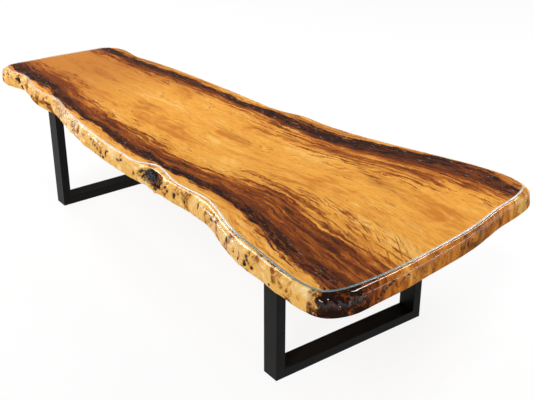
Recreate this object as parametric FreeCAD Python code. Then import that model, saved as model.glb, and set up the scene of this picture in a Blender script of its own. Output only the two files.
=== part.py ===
"""Live edge dining table: a thick natural-edged slab under a clear poured coat, carried by two
U-shaped frames of black rectangular steel tube. Millimetres, +Z up, +X along the grain towards the
wide end, origin on the floor under the middle of the slab."""
import FreeCAD, Part
import math
import os

Vector = FreeCAD.Vector

# Overall sizes
table_height = 750.0
slab_length = 3390.0
slab_thickness = 95.0

# Clear poured coat on the top
coat_thickness = 5.0
coat_lip = 3.0

# Profile of the natural edge: rounded over from the arris, widest at the belly, tucked in below it
round_over_depth = 34.0
round_over_share = 0.86
belly_rise = 18.0
tuck_in = 12.0

# Long edges: share of half the length, distance from the middle line, belly past the arris
front_edge = [
    (-0.968, -581, 36), (-0.900, -585, 21), (-0.832, -557, 17), (-0.776, -571, 19),
    (-0.634, -599, 18), (-0.549, -576, 26), (-0.442, -605, 20), (-0.281, -636, 26),
    (-0.088, -657, 20), (0.053, -653, 19), (0.109, -634, 30), (0.136, -600, 56),
    (0.183, -588, 64), (0.251, -609, 44), (0.307, -615, 32), (0.421, -594, 42),
    (0.527, -631, 34), (0.645, -676, 39), (0.756, -689, 42), (0.873, -702, 33),
    (0.938, -694, 37), (0.973, -671, 46),
]
back_edge = [
    (0.844, 709, 28), (0.758, 706, 30), (0.573, 614, 32), (0.340, 482, 34),
    (0.145, 422, 30), (0.086, 411, 30), (0.029, 374, 36), (-0.124, 338, 26),
    (-0.326, 316, 22), (-0.537, 280, 26), (-0.745, 222, 22), (-0.817, 201, 26),
    (-0.883, 209, 20), (-0.944, 189, 20),
]
# Sawn ends: set back from the end of the slab, distance from the middle line, belly past the arris
near_end = [
    (14, -610, 54), (1, -500, 45), (3, -340, 36), (16, -180, 29), (41, 30, 28),
    (80, 248, 25), (126, 420, 25), (181, 640, 35), (214, 686, 45),
]
far_end = [
    (40, 140, 18), (22, 40, 18), (10, -120, 20), (3, -300, 20), (1, -450, 30), (8, -540, 42),
]

# Hollow in the front edge and the dark knot that fills its bottom
knot_station = 0.178
knot_drop = 40.0
knot_length = 196.0
knot_height = 76.0
hollow_mouth_y = -700.0
hollow_floor_y = -600.0
hollow_floor_share = 0.7
knot_face_y = -627.0
knot_crown_height = 12.0
knot_crown_share = 0.4
knot_sides = 11
knot_wobble = 0.13

# Rectangular steel tube of the two frames
tube_depth = 100.0
tube_width = 50.0
tube_wall = 3.0
tube_corner_radius = 3.5

# Frames: place of the outer faces under the slab, and widths
near_overhang = 485.0
far_overhang = 585.0
frame_front_y = -557.0
near_frame_width = 908.0
far_frame_width = 770.0

# Steel plate welded across the top of each frame
plate_thickness = 8.0
plate_overhang = 20.0
plate_corner_cut = 8.0

# Bolts that hold the plates to the slab, their square washers and threaded inserts
bolt_diameter = 10.0
bolt_head_across_flats = 17.0
bolt_head_height = 6.4
bolt_edge_distance = 26.0
bolt_post_distance = 90.0
slot_play = 16.0
hole_clearance = 1.0
washer_width = 30.0
washer_thickness = 2.5
washer_corner_cut = 3.0
insert_length = 30.0
insert_wall = 3.0
insert_bolt_gap = 0.1
insert_engagement = 22.0

# Floor pads under the ends of each bar
pad_thickness = 3.0
pad_width = 80.0
pad_length = 60.0
pad_inset = 18.0
pad_corner_cut = 8.0

# Levels and places that follow from the sizes
slab_top = table_height - coat_thickness
slab_underside = slab_top - slab_thickness
plate_underside = slab_underside - plate_thickness
bar_underside = pad_thickness
half_length = slab_length / 2
plate_width = tube_depth + 2 * plate_overhang
insert_diameter = bolt_diameter + 2 * insert_wall


def slab_stations():
    """Points round the arris, anticlockwise from above, each as (x, y, belly)."""
    stations = [(share * half_length, y, belly) for share, y, belly in front_edge]
    stations += [(half_length - set_back, y, belly) for set_back, y, belly in near_end]
    stations += [(share * half_length, y, belly) for share, y, belly in back_edge]
    stations += [(set_back - half_length, y, belly) for set_back, y, belly in far_end]
    return stations


def edge_levels():
    """Levels of the edge profile as (height, share of the belly, set in)."""
    levels = []
    for turn in (0, 35, 60, 90):
        angle = math.radians(turn)
        height = slab_top - round_over_depth * (1 - math.cos(angle))
        levels.append((height, round_over_share * math.sin(angle), 0.0))
    for turn in (0, 50, 90):
        angle = math.radians(turn)
        height = slab_underside + belly_rise * (1 - math.sin(angle))
        levels.append((height, 1.0, tuck_in * (1 - math.cos(angle))))
    return levels


def station_distances(stations):
    """Running distance round the arris at each station, and once more at the start."""
    distances = [0.0]
    for here, after in zip(stations, stations[1:] + stations[:1]):
        distances.append(distances[-1] + math.hypot(after[0] - here[0], after[1] - here[1]))
    return distances


def outline_wire(stations, height, share, set_in):
    """Closed smooth outline of the slab at one level."""
    points = []
    for index, (x, y, belly) in enumerate(stations):
        before = stations[index - 1]
        after = stations[(index + 1) % len(stations)]
        run = Vector(after[0] - before[0], after[1] - before[1], 0).normalize()
        outward = Vector(run.y, -run.x, 0) * (share * belly - set_in)
        points.append(Vector(x, y, height) + outward)
    curve = Part.BSplineCurve()
    curve.interpolate(Points=points, PeriodicFlag=True, Parameters=station_distances(stations))
    return Part.Wire(curve.toShape())


def outline_loft(levels):
    """Solid through the slab's outline at each level."""
    stations = slab_stations()
    return Part.makeLoft([outline_wire(stations, *level) for level in levels], True, True)


def knot_ring(y, share):
    """Corners of the knot's uneven ring at one depth."""
    middle = Vector(knot_station * half_length, y, slab_top - knot_drop)
    corners = []
    for side in range(knot_sides):
        angle = math.radians(360 * side / knot_sides)
        reach = share * (1 + knot_wobble * math.cos(3 * angle))
        across = Vector(knot_length / 2 * math.cos(angle), 0, knot_height / 2 * math.sin(angle))
        corners.append(middle + across * reach)
    return corners


def flat_face(corners):
    """Flat face with the given corners."""
    return Part.Face(Part.makePolygon(corners + corners[:1]))


def knot_block(rings):
    """Solid with flat facets through the knot's rings, which lie one behind the other."""
    faces = [flat_face(rings[0]), flat_face(rings[-1])]
    for ring, behind in zip(rings, rings[1:]):
        for side in range(knot_sides):
            after = (side + 1) % knot_sides
            faces.append(flat_face([ring[side], ring[after], behind[after], behind[side]]))
    return Part.makeSolid(Part.makeShell(faces))


def knot_hollow():
    """Space of the hollow, narrowing from its mouth outside the edge to its floor."""
    return knot_block([knot_ring(hollow_mouth_y, 1.0), knot_ring(hollow_floor_y, hollow_floor_share)])


def dark_knot():
    """Knot wood in the bottom of the hollow, with a crowned face."""
    way_out = (knot_face_y - hollow_floor_y) / (hollow_mouth_y - hollow_floor_y)
    face_share = hollow_floor_share + (1 - hollow_floor_share) * way_out
    crown = knot_ring(knot_face_y - knot_crown_height, knot_crown_share)
    face = knot_ring(knot_face_y, face_share)
    return knot_block([crown, face, knot_ring(hollow_floor_y, hollow_floor_share)])


def clear_coat():
    """Clear layer over the top, eased off along the arris."""
    levels = [
        (slab_top, 0.0, 0.0),
        (table_height - coat_lip, 0.0, 0.0),
        (table_height, 0.0, coat_lip),
    ]
    return outline_loft(levels)


def rounded_rectangle(width, depth, radius):
    """Flat rounded rectangle about the origin, width along X and depth along Y."""
    block = Part.makeBox(width, depth, 1.0, Vector(-width / 2, -depth / 2, 0))
    corners = [edge for edge in block.Edges if edge.BoundBox.ZLength > 0.5]
    rounded = block.makeFillet(min(radius, width / 4, depth / 4), corners)
    return min(rounded.Faces, key=lambda face: face.CenterOfMass.z)


def clipped_rectangle(width, depth, cut):
    """Flat rectangle about the origin with clipped corners, width along X and depth along Y."""
    x = width / 2
    y = depth / 2
    corners = [(x - cut, -y), (x, cut - y), (x, y - cut), (x - cut, y)]
    corners += [(cut - x, y), (-x, y - cut), (-x, cut - y), (cut - x, -y)]
    return flat_face([Vector(a, b, 0) for a, b in corners])


def tube(length):
    """Hollow tube standing on the origin, tube_depth along X and tube_width along Y."""
    outer = rounded_rectangle(tube_depth, tube_width, tube_corner_radius)
    bore_depth = tube_depth - 2 * tube_wall
    bore_width = tube_width - 2 * tube_wall
    bore = Part.makeBox(bore_depth, bore_width, length, Vector(-bore_depth / 2, -bore_width / 2, 0))
    return outer.extrude(Vector(0, 0, length)).cut(bore)


def mitre_wedge(corner_y, towards, rise, run):
    """Three-cornered prism from a frame's outer bottom corner, to cut a mitre with."""
    corner = Vector(-tube_depth, corner_y, bar_underside)
    reach = 2 * tube_width
    diagonal = Vector(0, towards * reach, reach)
    side = Vector(0, towards * run * reach, rise * reach)
    profile = flat_face([corner, corner + diagonal, corner + side])
    return profile.extrude(Vector(2 * tube_depth, 0, 0))


def upright(outer_y, towards):
    """Post of a frame, mitred at its foot, from the floor bar up to the top plate."""
    post = tube(plate_underside - bar_underside)
    post.translate(Vector(0, outer_y + towards * tube_width / 2, bar_underside))
    return post.cut(mitre_wedge(outer_y, towards, 0, 1))


def floor_bar(front_y, back_y):
    """Bar of a frame along the floor, mitred at both ends."""
    bar = tube(back_y - front_y)
    bar.rotate(Vector(0, 0, 0), Vector(1, 0, 0), -90)
    bar.translate(Vector(0, front_y, bar_underside + tube_width / 2))
    bar = bar.cut(mitre_wedge(front_y, 1, 1, 0))
    return bar.cut(mitre_wedge(back_y, -1, 1, 0))


def bolt_places(front_y, back_y):
    """Bolt centres as (x, y, play): the front pair fixes the slab, the back pair lets it move."""
    row_x = plate_width / 2 - bolt_edge_distance
    fixed_y = front_y + tube_width + bolt_post_distance
    free_y = back_y - tube_width - bolt_post_distance
    return [(x, y, play) for y, play in ((fixed_y, 0.0), (free_y, slot_play)) for x in (-row_x, row_x)]


def cylinder(x, y, bottom, diameter, height):
    """Upright cylinder at a place."""
    return Part.makeCylinder(diameter / 2, height, Vector(x, y, bottom))


def slot_hole(x, y, play):
    """Bolt hole through the plate, drawn out across the grain by its play."""
    width = bolt_diameter + hole_clearance
    depth = plate_thickness
    ends = [cylinder(x, y + side * play / 2, plate_underside, width, depth) for side in (-1, 1)]
    if play == 0:
        return ends[0]
    web = Part.makeBox(width, play, depth, Vector(x - width / 2, y - play / 2, plate_underside))
    return ends[0].multiFuse([ends[1], web]).removeSplitter()


def top_plate(front_y, back_y):
    """Flat steel plate across the top of a frame, with round and slotted holes."""
    face = clipped_rectangle(plate_width, back_y - front_y, plate_corner_cut)
    plate = face.extrude(Vector(0, 0, plate_thickness))
    plate.translate(Vector(0, (front_y + back_y) / 2, plate_underside))
    return plate.cut([slot_hole(*place) for place in bolt_places(front_y, back_y)])


def washer(x, y):
    """Square flat washer under a bolt head."""
    bottom = plate_underside - washer_thickness
    square = clipped_rectangle(washer_width, washer_width, washer_corner_cut)
    square = square.extrude(Vector(0, 0, washer_thickness))
    square.translate(Vector(x, y, bottom))
    return square.cut(cylinder(x, y, bottom, bolt_diameter + hole_clearance, washer_thickness))


def bolt(x, y):
    """Hexagon bolt driven up into the slab from below."""
    seat = plate_underside - washer_thickness
    radius = bolt_head_across_flats / math.sqrt(3)
    turns = [math.radians(60 * side) for side in range(6)]
    corners = [Vector(x + radius * math.cos(a), y + radius * math.sin(a), seat) for a in turns]
    head = flat_face(corners).extrude(Vector(0, 0, -bolt_head_height))
    shank = cylinder(x, y, seat, bolt_diameter, slab_underside + insert_engagement - seat)
    return head.fuse(shank).removeSplitter()


def insert(x, y):
    """Threaded insert set in the underside of the slab."""
    sleeve = cylinder(x, y, slab_underside, insert_diameter, insert_length)
    bore = bolt_diameter + 2 * insert_bolt_gap
    return sleeve.cut(cylinder(x, y, slab_underside, bore, insert_length))


def floor_pad(y):
    """Thin pad between a floor bar and the floor."""
    pad = clipped_rectangle(pad_width, pad_length, pad_corner_cut).extrude(Vector(0, 0, pad_thickness))
    pad.translate(Vector(0, y, 0))
    return pad


def frame_pieces(name, middle_x, width):
    """All pieces of one frame as a dictionary of node name to shape, and its bolt places."""
    front_y = frame_front_y
    back_y = front_y + width
    places = bolt_places(front_y, back_y)
    pad_reach = pad_inset + pad_length / 2
    pieces = {
        name + "_front_upright": upright(front_y, 1),
        name + "_back_upright": upright(back_y, -1),
        name + "_floor_bar": floor_bar(front_y, back_y),
        name + "_top_plate": top_plate(front_y, back_y),
        name + "_plate_bolts": Part.makeCompound([bolt(x, y) for x, y, play in places]),
        name + "_plate_washers": Part.makeCompound([washer(x, y) for x, y, play in places]),
        name + "_threaded_inserts": Part.makeCompound([insert(x, y) for x, y, play in places]),
        name + "_front_floor_pad": floor_pad(front_y + pad_reach),
        name + "_back_floor_pad": floor_pad(back_y - pad_reach),
    }
    for piece in pieces.values():
        piece.translate(Vector(middle_x, 0, 0))
    return pieces, [(middle_x + x, y) for x, y, play in places]


def table_pieces():
    """Every piece of the table in its place, as a dictionary of node name to shape."""
    near_x = half_length - near_overhang - tube_depth / 2
    far_x = far_overhang + tube_depth / 2 - half_length
    near, near_bolts = frame_pieces("near", near_x, near_frame_width)
    far, far_bolts = frame_pieces("far", far_x, far_frame_width)
    block = outline_loft(edge_levels())
    sockets = [
        cylinder(x, y, slab_underside, insert_diameter, insert_length)
        for x, y in near_bolts + far_bolts
    ]
    pieces = {
        "live_edge_slab": block.cut([knot_hollow()] + sockets),
        "clear_top_coat": clear_coat(),
        "edge_knot": dark_knot(),
    }
    pieces.update(near)
    pieces.update(far)
    return pieces


pieces = table_pieces()
reach = pieces["live_edge_slab"].optimalBoundingBox()
to_origin = Vector(-reach.Center.x, -reach.Center.y, 0)
os.makedirs("parts", exist_ok=True)
for node, shape in pieces.items():
    shape.translate(to_origin)
    shape.exportStep("parts/" + node + ".step")
print("slab", reach.XLength, reach.YLength, "moved", to_origin)
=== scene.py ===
"""Live edge dining table: a wood slab under a clear poured coat, on two frames of black steel tube."""
import math
from functools import reduce

import bmesh
import bpy
import numpy as np
from bpy.props import FloatProperty, FloatVectorProperty, IntProperty, PointerProperty
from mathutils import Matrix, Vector, geometry, noise
from mathutils.bvhtree import BVHTree


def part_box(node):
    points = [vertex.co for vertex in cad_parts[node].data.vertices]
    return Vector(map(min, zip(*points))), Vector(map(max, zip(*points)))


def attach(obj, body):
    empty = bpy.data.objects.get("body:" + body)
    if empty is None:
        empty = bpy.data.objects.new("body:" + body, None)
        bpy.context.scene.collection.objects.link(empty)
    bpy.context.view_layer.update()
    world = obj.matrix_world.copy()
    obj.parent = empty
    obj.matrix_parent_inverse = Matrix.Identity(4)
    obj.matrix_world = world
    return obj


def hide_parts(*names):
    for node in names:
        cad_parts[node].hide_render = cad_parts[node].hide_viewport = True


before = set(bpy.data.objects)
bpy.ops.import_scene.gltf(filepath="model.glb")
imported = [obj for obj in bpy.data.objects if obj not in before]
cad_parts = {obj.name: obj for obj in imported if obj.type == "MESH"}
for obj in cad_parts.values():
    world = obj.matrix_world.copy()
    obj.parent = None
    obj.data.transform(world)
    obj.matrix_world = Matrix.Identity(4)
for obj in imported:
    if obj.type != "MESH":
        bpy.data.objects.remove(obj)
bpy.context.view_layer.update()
slab_low, slab_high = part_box("live_edge_slab")
coat_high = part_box("clear_top_coat")[1]
knot_low, knot_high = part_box("edge_knot")

bl_info = {
    "name": "Live Edge Dining Table",
    "version": (1, 0, 0),
    "blender": (4, 5, 0),
    "location": "3D View > Sidebar > Table",
    "description": "Dresses a live edge dining table on steel tube frames",
    "category": "Object",
}

# Dark bands: along the grain, middle line across it, half width, reach of the red-brown wood
# The branch: along the grain, middle line across it, strength
FRONT_BAND = (
    (-1.75, -0.520, 0.050, 0.15), (-1.45, -0.526, 0.050, 0.18), (-1.20, -0.514, 0.050, 0.23),
    (-0.95, -0.536, 0.038, 0.17), (-0.70, -0.553, 0.031, 0.15), (-0.45, -0.572, 0.031, 0.15),
    (-0.20, -0.580, 0.032, 0.16), (0.05, -0.576, 0.032, 0.16), (0.30, -0.556, 0.033, 0.12),
    (0.55, -0.518, 0.027, 0.21), (0.80, -0.505, 0.031, 0.28), (1.00, -0.526, 0.042, 0.31),
    (1.20, -0.560, 0.046, 0.36), (1.40, -0.588, 0.045, 0.36), (1.60, -0.606, 0.048, 0.33),
    (1.75, -0.625, 0.070, 0.32),
)
BACK_BAND = (
    (-1.75, 0.108, 0.046, 0.10), (-1.45, 0.130, 0.044, 0.10), (-1.20, 0.158, 0.036, 0.12),
    (-0.95, 0.205, 0.030, 0.14), (-0.70, 0.234, 0.025, 0.13), (-0.45, 0.252, 0.025, 0.10),
    (-0.20, 0.274, 0.030, 0.10), (0.05, 0.294, 0.042, 0.13), (0.30, 0.310, 0.056, 0.16),
    (0.50, 0.350, 0.062, 0.21), (0.75, 0.440, 0.070, 0.27), (1.00, 0.555, 0.080, 0.33),
    (1.20, 0.616, 0.092, 0.30), (1.40, 0.622, 0.084, 0.20), (1.75, 0.600, 0.074, 0.16),
)
BRANCH = (
    (-1.75, 0.10, 0.0), (0.08, 0.10, 0.0), (0.14, 0.105, 0.8), (0.40, 0.150, 1.0), (0.60, 0.208, 0.9),
    (0.75, 0.232, 1.0), (0.90, 0.192, 0.8), (1.05, 0.168, 0.7), (1.14, 0.150, 0.0), (1.75, 0.150, 0.0),
)

# Half the length over which the stations of the bands, the branch and the wide end lie
FIGURE_REACH = 1.75

# Brown smudges of the heartwood: middle, reach each way, strength
SMUDGES = (
    ((-0.52, -0.19), (0.17, 0.045), 0.55), ((-1.15, -0.14), (0.22, 0.045), 0.45),
    ((0.14, -0.05), (0.24, 0.022), 0.45), ((-1.63, 0.03), (0.20, 0.035), 0.95),
    ((-0.62, 0.13), (0.20, 0.040), 0.45), ((-1.55, -0.40), (0.26, 0.050), 0.40),
    ((1.08, 0.16), (0.30, 0.060), 0.35), ((-1.20, -0.43), (0.40, 0.050), 0.85),
)

# Pits of the front edge: place along it, girth below the arris, half length, half height, depth
FRONT_PITS = (
    (-1.567, 0.028, 0.011, 0.009, 0.005), (-1.536, 0.041, 0.009, 0.008, 0.004),
    (-1.473, 0.045, 0.024, 0.028, 0.012), (-1.437, 0.086, 0.018, 0.022, 0.016),
    (-1.108, 0.050, 0.016, 0.013, 0.006), (-1.000, 0.056, 0.030, 0.011, 0.006),
    (-0.410, 0.047, 0.013, 0.009, 0.007), (-0.312, 0.042, 0.013, 0.009, 0.007),
    (-0.252, 0.052, 0.012, 0.009, 0.007), (-0.226, 0.064, 0.014, 0.010, 0.008),
    (-0.185, 0.071, 0.010, 0.012, 0.006), (-0.130, 0.060, 0.011, 0.024, 0.008),
    (-0.112, 0.040, 0.016, 0.009, 0.006), (-0.153, 0.086, 0.016, 0.009, 0.006),
    (0.000, 0.049, 0.028, 0.008, 0.008), (0.032, 0.037, 0.024, 0.008, 0.008),
    (0.150, 0.066, 0.008, 0.016, 0.005), (0.205, 0.042, 0.016, 0.007, 0.006),
    (0.440, 0.022, 0.012, 0.009, 0.004), (0.436, 0.043, 0.011, 0.010, 0.005),
    (0.452, 0.057, 0.009, 0.009, 0.005), (0.356, 0.070, 0.011, 0.009, 0.004),
    (0.505, 0.060, 0.016, 0.022, 0.004), (0.587, 0.066, 0.013, 0.011, 0.008),
    (0.700, 0.038, 0.007, 0.024, 0.005), (0.776, 0.046, 0.011, 0.008, 0.005),
    (0.838, 0.050, 0.024, 0.010, 0.006), (0.892, 0.035, 0.010, 0.008, 0.005),
    (1.032, 0.048, 0.011, 0.020, 0.006), (1.103, 0.070, 0.011, 0.011, 0.006),
    (1.152, 0.077, 0.011, 0.010, 0.008), (1.203, 0.075, 0.016, 0.016, 0.010),
    (1.218, 0.058, 0.012, 0.012, 0.008), (1.204, 0.042, 0.013, 0.012, 0.006),
    (1.256, 0.075, 0.011, 0.010, 0.006), (1.382, 0.088, 0.010, 0.008, 0.006),
)

# Painted sheen of the front edge, in pale cream stretches: middle, reach, strength
SHEEN_STRETCHES = ((-0.64, 0.30, 0.40), (1.00, 0.25, 0.30))

# Splits of the sawn wide end: place across it, girth below the arris, half length, half height, depth
END_SPLITS = (
    (-0.372, 0.038, 0.012, 0.007, 0.005), (-0.390, 0.046, 0.012, 0.008, 0.006),
    (-0.408, 0.054, 0.010, 0.009, 0.006), (-0.424, 0.064, 0.009, 0.010, 0.007),
    (-0.440, 0.074, 0.010, 0.009, 0.006), (-0.458, 0.083, 0.011, 0.008, 0.005),
    (-0.285, 0.042, 0.013, 0.007, 0.004), (-0.305, 0.050, 0.010, 0.008, 0.004),
    (-0.150, 0.020, 0.006, 0.014, 0.002), (-0.118, 0.024, 0.006, 0.016, 0.002),
    (-0.085, 0.022, 0.006, 0.014, 0.002), (-0.055, 0.026, 0.006, 0.016, 0.002),
    (-0.020, 0.022, 0.006, 0.013, 0.002), (0.070, 0.052, 0.007, 0.022, 0.005),
    (0.092, 0.060, 0.006, 0.016, 0.004), (0.120, 0.056, 0.008, 0.024, 0.006),
    (0.150, 0.050, 0.006, 0.015, 0.003), (0.225, 0.040, 0.012, 0.010, 0.004),
)

# Tone of the wide end's wood across it, from dark at 0 to pale at 1
END_TONE = (
    (-1.75, 0.10), (-0.62, 0.10), (-0.50, 0.40), (-0.38, 0.54), (-0.24, 0.61), (-0.04, 0.53),
    (0.10, 0.38), (0.24, 0.34), (0.42, 0.62), (0.58, 0.82), (1.75, 0.78),
)

# Distances within which points of the solid and of a seam are one, and corners lie on the top
SAME_POINT, SEAM_GAP, TOP_SLACK = 1e-5, 1e-7, 1e-4

# Steps of the arris line between two of its corners, and how many points to each side
# give the line's run and smooth the belly
CURVE_STEPS, RUN_STEP, SMOOTHING = 12, 3, 12

# Rows of the edge's rounded upper part, of its side and of its rounded lower part
ROUND_STEPS, SIDE_STEPS, TUCK_STEPS = 10, 10, 7

# Length of the rays that measure the belly, and the widths that are kept
BELLY_RAY = 0.15
BELLY_RANGE = (0.004, 0.12)

# Girths over which the relief fades in below the arris and out above the underside
RELIEF_START = (0.010, 0.036)
RELIEF_END = (0.0, 0.012)

# How squarely the edge faces an end where sawn wood starts and is full, and how flat its lumps are there
SAWN_TURN = (0.62, 0.86)
SAWN_FLAT = 0.78

# How squarely the edge faces the front where pits start, and the wide end where splits start
FRONT_TURN, END_TURN = 0.4, 0.6

# Fineness of the pits' ragged outlines per metre, and how ragged they are
PIT_FINENESS, PIT_WOBBLE = 70.0, 0.45

# Dark folded corner: its middle, its stretch across the slab, and the distances over which it fades
DARK_CORNER = (1.715, -0.625)
CORNER_SQUASH = 0.8
CORNER_FADE = (0.03, 0.14)

# Distances from the middle towards the narrow end where the front edge's knobs start and are full
KNOB_REACH = (0.15, 0.55)

# Noise at the crests of the knobs, and at the end of the painted shade in their creases
KNOB_CREST, CREASE_SHADE = 0.35, 0.08

# Fineness of the broad lumps and of the small ripples, each per metre
LUMP_SCALES = (9.0, 21.0)
RIPPLE_SCALES = (55.0, 120.0)

# Middle of the knot's black core, as a share of its half length and half height
KNOT_CORE = (-0.2, 0.25)

# Distances over which the knot turns to its ring, its hollow rises to the rim and the darkness round it,
# partly painted shade in the hollow, fades
KNOT_RING = (0.60, 1.0)
HOLLOW_RIM = (0.90, 1.16)
HOLLOW_SHADE = (1.02, 1.42)

# Distance and width of the collar round the hollow
COLLAR_RING, COLLAR_WIDTH = 1.38, 0.24

# Turns round the bead of the coat's lip, in degrees from level
BEAD_TURNS = (-90, -50, -15, 20, 50, 75, 90)

# Width of the camera's sensor in millimetres, and how far it sees in metres
SENSOR_WIDTH, FAR_LIMIT = 36.0, 500.0

# Panel lamps: name, place, tilt and turn in degrees, width and height, name of the power setting
PANEL_LAMPS = (
    ("front_strip", (-4.7, -0.80, 4.0), (0, 0), (6.6, 1.3), "strip_power"),
    ("end_strip", (1.25, 3.60, 4.0), (0, 0), (0.4, 4.6), "end_power"),
    ("glint_panel", (-6.1, -3.35, 1.0), (90, -62), (0.6, 1.6), "glint_power"),
    ("line_panel", (6.1, 4.0, 0.8), (90, 123), (5.0, 0.15), "line_power"),
)

# Turns of the soft light in degrees, and heights between which the mirrored white fades in
SKY_TURNS = (38, 26, 0)
HORIZON = (0.24, 0.12)

# Range of the raw noise that is spread from 0 to 1
NOISE_RANGE = (0.27, 0.73)

WHITE = (1.0, 1.0, 1.0, 1.0)

# Refraction of the lacquer on the top and knot, and on the edge, and its roughness
TOP_LACQUER, EDGE_LACQUER = 1.38, 1.45
LACQUER_ROUGHNESS = 0.03

# Values that the edge's mesh carries for its wood: the first is darkness, with painted shade in pits,
# creases and the knot's hollow
EDGE_LAYERS = ("pit", "sawn", "char", "down")

# Material slots of the slab and of the coat
TOP_SLOT, EDGE_SLOT, UNDER_SLOT = 0, 1, 2
FACE_SLOT, LIP_SLOT = 0, 1

# Finishes of the solids: name, pieces, name of the colour setting, fineness, roughness, metal, relief
FRAME_PIECES = ("front_upright", "back_upright", "floor_bar", "top_plate")
WORN_FINISHES = (
    ("black_powder_coat", FRAME_PIECES, "powder", 900.0, 0.42, 0.0, 0.25),
    ("zinc_plate", ("plate_bolts", "plate_washers"), "zinc", 400.0, 0.32, 1.0, 0.15),
    ("turned_brass", ("threaded_inserts",), "brass", 400.0, 0.28, 1.0, 0.15),
    ("pad_rubber", ("front_floor_pad", "back_floor_pad"), "rubber", 300.0, 0.75, 0.0, 0.4),
)


def tone(red, green, blue):
    """Linear colour of an 8-bit screen colour."""
    return (*(((part / 255 + 0.055) / 1.055) ** 2.4 for part in (red, green, blue)), 1.0)


def amount(name, description, default, subtype="NONE"):
    """Number, share or angle property."""
    return FloatProperty(name=name, description=description, default=default, subtype=subtype)


def length(name, description, default):
    """Length property in metres."""
    return FloatProperty(
        name=name, description=description, default=default, unit="LENGTH", precision=4
    )


def colour(name, description, default):
    """Colour property."""
    return FloatVectorProperty(
        name=name, description=description, default=default, size=4, subtype="COLOR", min=0.0, max=1.0
    )


class SlabSettings(bpy.types.PropertyGroup):
    """Shape and wood colours of the slab"""

    spacing: length("Point spacing", "Distance between points round the live edge", 0.0042)
    round_over: length("Round over", "Height of the rounded upper part of the edge", 0.034)
    round_share: amount("Round share", "Share of the belly that the rounded upper part reaches", 0.86)
    belly_rise: length("Belly rise", "Height of the rounded lower part of the edge", 0.018)
    tuck_in: length("Tuck in", "How far the underside lies inside the belly", 0.012)
    lump_height: length("Lump height", "Height of the broad lumps of the live edge", 0.006)
    ripple_height: length("Ripple height", "Height of the small ripples of the live edge", 0.0010)
    fold_depth: length("Fold depth", "Depth of the folds in the dark corner", 0.011)
    knob_depth: length("Knob depth", "Depth of the creases between the front edge's knobs", 0.012)
    bend_seed: IntProperty(
        name="Bend seed", description="Seed of the bends in the creases", default=3, min=1
    )
    hollow_depth: length("Hollow depth", "Depth of the hollow round the knot", 0.013)
    collar: length("Collar", "Height of the swelling round the knot's hollow", 0.009)
    gold: colour("Gold", "Golden heartwood", tone(240, 169, 70))
    pale_gold: colour("Pale gold", "Light streaks of the heartwood", tone(249, 192, 100))
    deep_gold: colour("Deep gold", "Dark streaks of the heartwood", tone(206, 128, 46))
    # Partly painted shade: the narrow end is darkened against the stronger light there
    dull_gold_and_shade: colour("Dull gold", "Heartwood of the narrow end", tone(176, 106, 46))
    rim_gold: colour("Rim gold", "Sapwood along the rims", tone(252, 194, 108))
    red_brown: colour("Red brown", "Wood beside the dark bands", tone(132, 64, 22))
    amber: colour("Amber", "Fringe of the dark bands", tone(180, 100, 34))
    dark_brown: colour("Dark brown", "Dark streaks beside the bands", tone(80, 38, 16))
    black_brown: colour("Black brown", "Core of the dark bands", tone(36, 18, 12))
    # Painted glints: grey flecks in the dark bands that stand in for reflections
    painted_glint_grey: colour("Grey glint", "Mineral flecks in the dark bands", tone(130, 124, 126))
    burl_tan: colour("Burl tan", "Live edge", tone(242, 186, 98))
    burl_pale: colour("Burl pale", "Light patches of the live edge", tone(254, 222, 158))
    # Painted sheen: cream that stands in for the lacquer's reflection on the front edge
    sheen_cream: colour("Burl cream", "Palest stretches of the live edge", tone(255, 234, 196))
    burl_brown: colour("Burl brown", "Brown patches of the live edge", tone(150, 86, 26))
    # Painted shade as well: this dark also fills pits, the knobs' creases and the knot's hollow
    pit_dark_and_shade: colour("Pit dark", "Bottom of pits and pinholes", tone(36, 21, 15))
    oil_brown: colour("Oil brown", "Tint of the sealed underside", (0.2, 0.1, 0.04, 1.0))


class CoatSettings(bpy.types.PropertyGroup):
    """Clear poured coat"""

    bead: length("Bead", "How far the lip swells past the arris", 0.0030)
    lip_width: length("Lip width", "Width of the lip on the flat of the top", 0.0060)
    film: length("Film", "Gap between the wood and the clear layer", 0.0005)
    face_share: amount("Face share", "How much the flat of the clear layer shows", 0.003)
    # Painted highlight: the lip's white stands in for the light it catches, and fades along the back edge
    back_fade: amount("Back fade", "Share of the lip that is lost along the back edge", 0.85)
    lip_highlight_white: colour("Lip white", "Lip of the clear layer facing the light", tone(246, 246, 240))
    lip_teal: colour("Lip teal", "Lip of the clear layer seen through its depth", tone(122, 150, 150))


class KnotSettings(bpy.types.PropertyGroup):
    """Dark knot in the front edge"""

    lump: length("Lump", "Height of the knot's lumps", 0.011)
    forward: length("Forward", "How far the lumps stand in front of the solid", 0.008)
    lift: length("Lift", "How far the lumps lie above the solid", 0.009)
    along: length("Along", "How far the lumps lie along the edge from the solid", 0.002)
    below_top: length("Below the top", "Least depth of the lumps below the slab's top", 0.005)
    spread: amount("Spread", "Length of the lumpy knot against its solid", 1.12)
    spread_up: amount("Spread up", "Height of the lumpy knot against its solid", 1.15)
    coal: colour("Coal", "Dark resin-soaked wood", tone(30, 26, 25))
    ember: colour("Ember", "Orange-brown wood round the knot", tone(150, 78, 28))


class SteelSettings(bpy.types.PropertyGroup):
    """Frames, fastenings and floor pads"""

    powder: colour("Powder coat", "Satin black powder coat", tone(17, 17, 17))
    zinc: colour("Zinc", "Plated bolts and washers", tone(190, 191, 190))
    brass: colour("Brass", "Threaded inserts", tone(205, 170, 100))
    rubber: colour("Rubber", "Floor pads", tone(34, 34, 35))


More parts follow.
